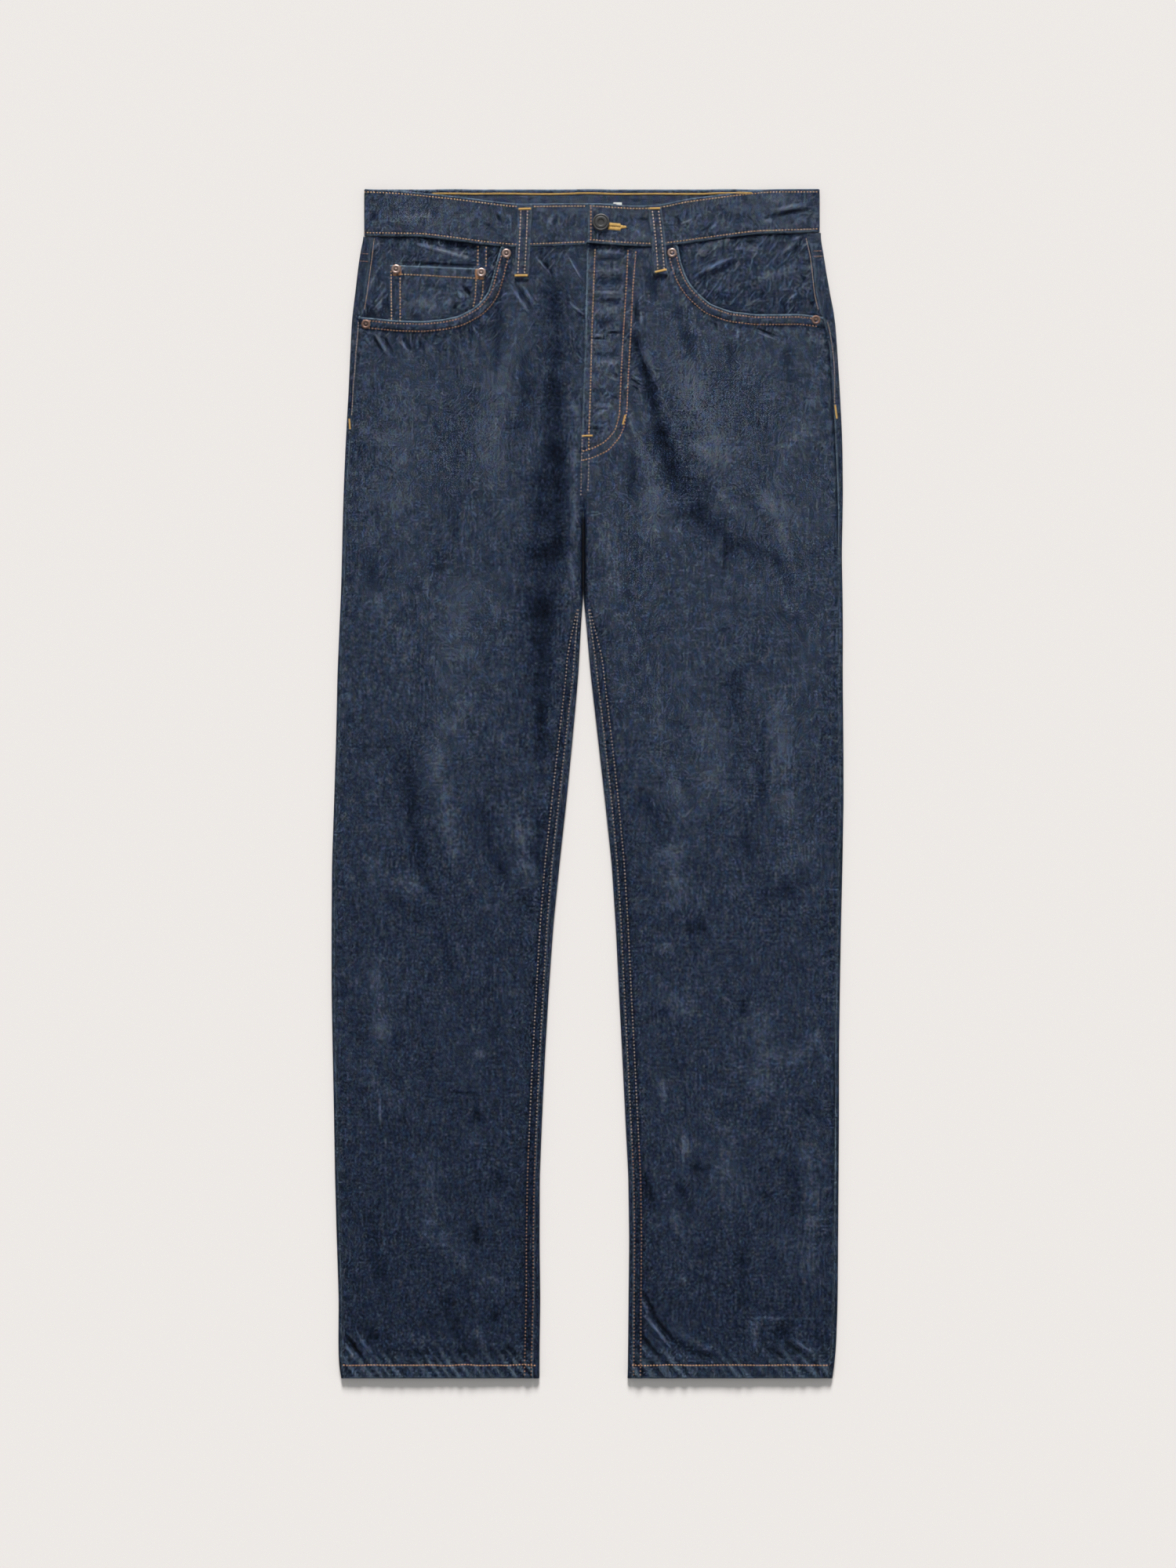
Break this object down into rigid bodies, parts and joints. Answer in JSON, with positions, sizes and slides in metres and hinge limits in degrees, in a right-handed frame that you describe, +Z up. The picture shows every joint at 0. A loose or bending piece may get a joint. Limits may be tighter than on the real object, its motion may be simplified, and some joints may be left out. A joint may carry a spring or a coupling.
{
  "type": "straight leg jeans",
  "caption": "Straight leg denim jeans laid flat on their back, with button fly, scooped front pockets, coin pocket, belt loops, back pockets and stitched hems.",
  "frame": {"origin": "on the surface that the jeans lie on, under the middle of their bounding box", "axes": "+Y along the legs towards the waist, +X towards the wearer's left, +Z up out of the front of the jeans"},
  "size_m": [0.47, 1.0908, 0.0117],
  "materials": {
    "denim": "dark indigo heavy cotton twill, matt, slightly worn along seams",
    "button_metal": "dark gunmetal plating",
    "rivet_metal": "pale copper plating",
    "label_cloth": "plain white woven tape, bare",
    "topstitch_thread": "tan polyester topstitching thread",
    "tack_thread": "yellow gold thread of bar tacks, buttonhole and chain stitch"
  },
  "bodies": {
    "root": {"front_right": "denim", "front_left": "denim", "back_right": "denim", "back_left": "denim", "yoke_right": "denim", "yoke_left": "denim", "waistband": "denim", "pocket_facing_right": "denim", "pocket_facing_left": "denim", "coin_pocket": "denim", "back_pocket_right": "denim", "back_pocket_left": "denim", "belt_loop_front_right": "denim", "belt_loop_front_left": "denim", "belt_loop_back_right": "denim", "belt_loop_back_centre": "denim", "belt_loop_back_left": "denim", "button": "button_metal", "rivet_coin_outer": "rivet_metal", "rivet_coin_inner": "rivet_metal", "rivet_mouth_right_waist": "rivet_metal", "rivet_mouth_right_side": "rivet_metal", "rivet_mouth_left_waist": "rivet_metal", "rivet_mouth_left_side": "rivet_metal", "inner_label": "label_cloth"}
  },
  "joints": []
}
